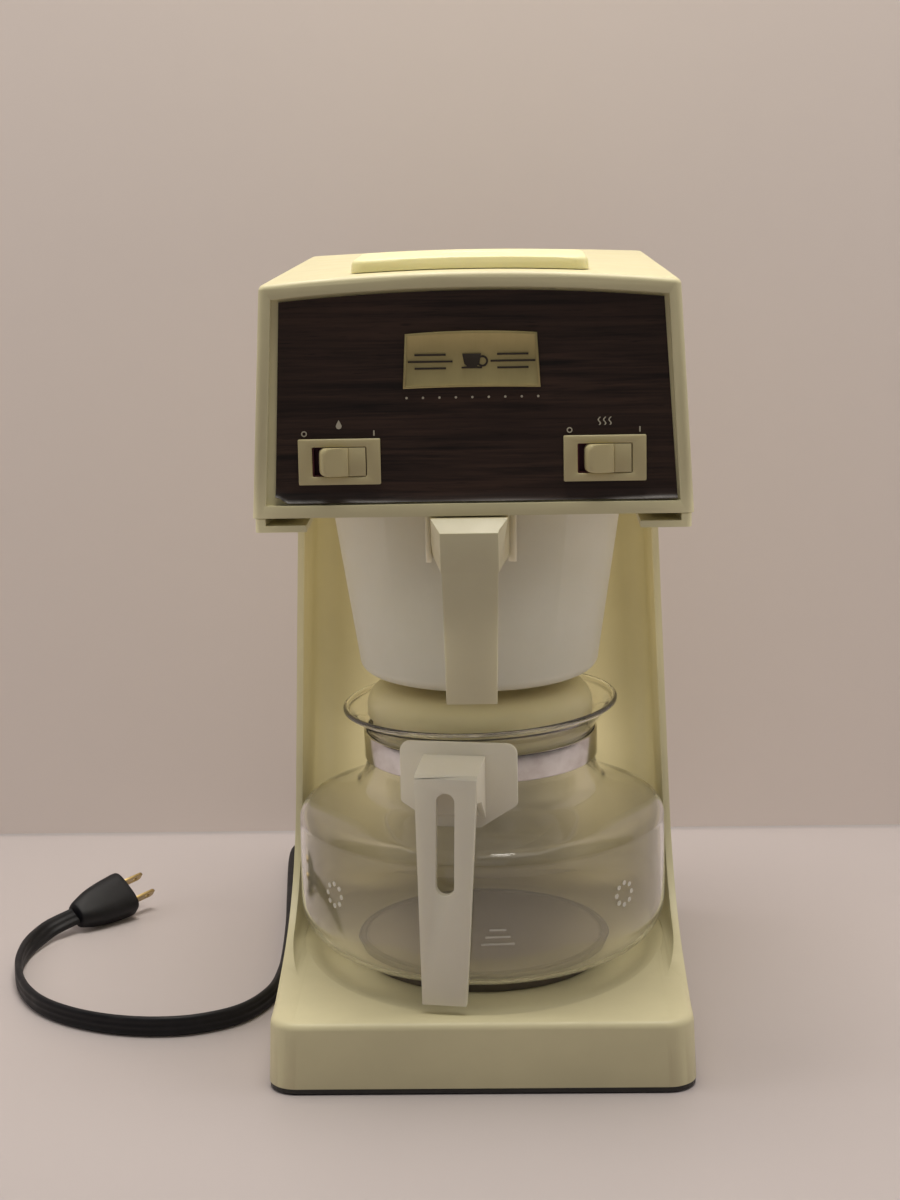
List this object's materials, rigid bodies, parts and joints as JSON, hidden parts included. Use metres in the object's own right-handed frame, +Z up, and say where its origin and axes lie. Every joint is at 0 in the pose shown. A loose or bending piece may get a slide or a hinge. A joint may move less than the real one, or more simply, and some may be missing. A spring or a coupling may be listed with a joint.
{
  "type": "drip coffee maker",
  "caption": "Automatic drip coffee maker: boxy head with a wood-grain panel and rocker switches over a slide-in basket and a glass carafe on a warming plate.",
  "frame": {"origin": "centre of the machine's own box, without its cord, on the surface it stands on", "axes": "+Z up, -Y out of the front where the carafe goes in, +X to the right of someone facing the front"},
  "size_m": [0.3623, 0.3819, 0.3901],
  "materials": {
    "cream_plastic": "satin cream moulded plastic",
    "white_plastic": "satin off-white moulded plastic",
    "frosted_plastic": "frosted, slightly translucent plastic",
    "lid_plastic": "satin pale yellow plastic",
    "woodgrain": "dark walnut grain under a glossy film",
    "gold_plate": "satin pale gold",
    "steel": "plain bright steel",
    "plate_coating": "grey non-stick coating",
    "chrome": "polished band, a little worn",
    "glass": "clear heat-resistant glass",
    "aluminium": "mill finish",
    "brass": "plain brass",
    "black_rubber": "matt black rubber",
    "black_metal": "black enamel",
    "seal_rubber": "dark brown heat-resistant rubber",
    "phenolic": "dark maroon phenolic",
    "wire_sleeve": "braided glass sleeve"
  },
  "bodies": {
    "machine": {"lower_housing": "cream_plastic", "head_housing": "cream_plastic", "head_floor": "cream_plastic", "rear_cover": "cream_plastic", "brew_switch_frame": "cream_plastic", "warmer_switch_frame": "cream_plastic", "drip_spreader": "white_plastic", "front_panel": "woodgrain", "nameplate": "gold_plate", "base_screw_front_left": "steel", "base_screw_front_right": "steel", "base_screw_back_left": "steel", "base_screw_back_right": "steel", "cover_screw_low_left": "steel", "cover_screw_low_right": "steel", "cover_screw_top_left": "steel", "cover_screw_top_right": "steel", "head_screw_left": "steel", "head_screw_right": "steel", "plate_heater": "steel", "plate_nut": "steel", "water_tank": "steel", "tank_heater": "steel", "warming_plate": "plate_coating", "heater_clamp": "aluminium", "heat_shield": "aluminium", "thermal_fuse": "aluminium", "valve_housing": "brass", "bimetal_disc": "brass", "plug_blade_left": "brass", "plug_blade_right": "brass", "foot_front_left": "black_rubber", "foot_front_right": "black_rubber", "foot_back_left": "black_rubber", "foot_back_right": "black_rubber", "valve_seat": "black_rubber", "strain_relief": "black_rubber", "cord": "black_rubber", "plug_body": "black_rubber", "bottom_plate": "black_metal", "plate_ring": "seal_rubber", "plate_thermostat": "phenolic", "tank_thermostat": "phenolic", "brew_switch_body": "phenolic", "warmer_switch_body": "phenolic", "line_wire": "wire_sleeve", "neutral_wire": "wire_sleeve", "plate_lead": "wire_sleeve"},
    "brew_rocker": {"brew_switch_rocker": "cream_plastic"},
    "warmer_rocker": {"warmer_switch_rocker": "cream_plastic"},
    "reservoir_cap": {"reservoir_lid": "lid_plastic"},
    "valve": {"valve_stem": "steel"},
    "brew_basket": {"basket": "frosted_plastic", "basket_handle": "cream_plastic"},
    "carafe": {"carafe_glass": "glass", "carafe_collar": "chrome", "carafe_handle": "white_plastic", "collar_screw": "steel"},
    "carafe_cap": {"carafe_lid": "white_plastic"}
  },
  "joints": [
    {"name": "brew_rocker_tilt", "type": "hinge", "parent": "machine", "child": "brew_rocker", "pos_m": [-0.0599, -0.11064, 0.29955], "axis": [0, 0.0382, 0.9993], "range_deg": [0, 20]},
    {"name": "warmer_rocker_tilt", "type": "hinge", "parent": "machine", "child": "warmer_rocker", "pos_m": [0.0599, -0.11064, 0.29955], "axis": [0, 0.0382, 0.9993], "range_deg": [0, 20]},
    {"name": "reservoir_cap_lift", "type": "slide", "parent": "machine", "child": "reservoir_cap", "axis": [0, 0, 1], "range_m": [0, 0.06]},
    {"name": "valve_lift", "type": "slide", "parent": "machine", "child": "valve", "axis": [0, 0, 1], "range_m": [0, 0.0025]},
    {"name": "basket_slide", "type": "slide", "parent": "machine", "child": "brew_basket", "axis": [0, -1, 0], "range_m": [0, 0.18]},
    {"name": "carafe_slide", "type": "slide", "parent": "machine", "child": "carafe", "axis": [0, -1, 0], "range_m": [0, 0.22]},
    {"name": "carafe_lid_turn", "type": "hinge", "parent": "carafe", "child": "carafe_cap", "pos_m": [0, -0.0064, 0.155], "axis": [0, 0, 1], "continuous": true}
  ]
}
